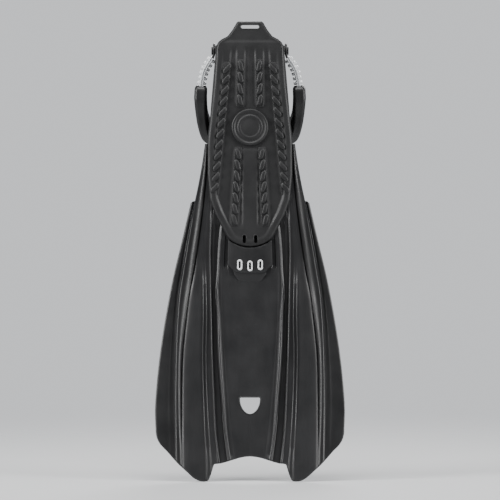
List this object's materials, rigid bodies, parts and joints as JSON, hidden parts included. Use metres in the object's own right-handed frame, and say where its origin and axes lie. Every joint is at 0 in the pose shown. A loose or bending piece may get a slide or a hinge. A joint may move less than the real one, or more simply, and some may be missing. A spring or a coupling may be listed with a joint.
{
  "type": "open-heel diving fin",
  "caption": "Open-heel swim fin: foot pocket with a treaded sole, long ribbed blade with two lobes, and a stretch strap with a heel pad.",
  "frame": {"origin": "the middle of the hanging slot in the heel tab, halfway through the tab's thickness", "axes": "+Z from the blade tips to the heel, +X to the right when the sole is seen, +Y towards the instep, so the sole faces -Y"},
  "size_m": [0.2392, 0.1489, 0.5795],
  "materials": {
    "sole_rubber": "satin moulded thermoplastic rubber, finely stippled",
    "pocket_rubber": "satin moulded thermoplastic rubber",
    "rail_rubber": "satin moulded thermoplastic rubber",
    "blade_plastic": "satin moulded polymer with fine flow lines",
    "ring_plastic": "pale grey moulded plastic",
    "fitting_plastic": "satin moulded nylon",
    "strap_rubber": "satin moulded rubber",
    "pale_silicone": "pale grey satin silicone",
    "pin_steel": "drawn stainless pin"
  },
  "bodies": {
    "foot": {"sole_plate": "sole_rubber", "sole_badge": "sole_rubber", "tread_inner_heel_left": "sole_rubber", "tread_inner_heel_right": "sole_rubber", "tread_inner_toe_left": "sole_rubber", "tread_inner_toe_right": "sole_rubber", "tread_outer_left": "sole_rubber", "tread_outer_right": "sole_rubber", "blade_root": "blade_plastic", "power_plate": "blade_plastic", "vent_ring_left": "ring_plastic", "vent_ring_middle": "ring_plastic", "vent_ring_right": "ring_plastic", "foot_pocket": "pocket_rubber", "insole": "pocket_rubber", "flex_strip": "pocket_rubber", "rail_root_left": "rail_rubber", "rail_root_right": "rail_rubber", "flap_root_left": "rail_rubber", "flap_root_right": "rail_rubber", "strap_post_left": "fitting_plastic", "strap_post_right": "fitting_plastic", "post_cap_left": "fitting_plastic", "post_cap_right": "fitting_plastic"},
    "blade": {"blade_panel": "blade_plastic", "flex_channel_left": "rail_rubber", "flex_channel_right": "rail_rubber", "side_panel_left": "blade_plastic", "side_panel_right": "blade_plastic", "side_rail_left": "rail_rubber", "side_rail_right": "rail_rubber", "edge_flap_left": "rail_rubber", "edge_flap_right": "rail_rubber"},
    "strap": {"strap_end_left": "strap_rubber", "strap_end_right": "strap_rubber", "strap_ribs_left": "pale_silicone", "strap_ribs_right": "pale_silicone"},
    "pad": {"heel_pad": "strap_rubber", "tab_pin": "pin_steel"},
    "tab": {"pull_tab": "strap_rubber"}
  },
  "joints": [
    {"name": "blade_flex", "type": "hinge", "parent": "foot", "child": "blade", "pos_m": [0, 0, -0.326], "axis": [1, 0, 0], "range_deg": [-30, 20], "stiffness_Nm_per_rad": 4},
    {"name": "strap_swing", "type": "hinge", "parent": "foot", "child": "strap", "pos_m": [0, 0.0175, -0.029], "axis": [1, 0, 0], "range_deg": [0, 150]},
    {"name": "strap_stretch", "type": "slide", "parent": "strap", "child": "pad", "axis": [0, 0.1392, -0.9903], "range_m": [0, 0.03], "stiffness_N_per_m": 600},
    {"name": "tab_fold", "type": "hinge", "parent": "pad", "child": "tab", "pos_m": [0, 0.10809, -0.14927], "axis": [1, 0, 0], "range_deg": [0, 110], "stiffness_Nm_per_rad": 0.05}
  ]
}
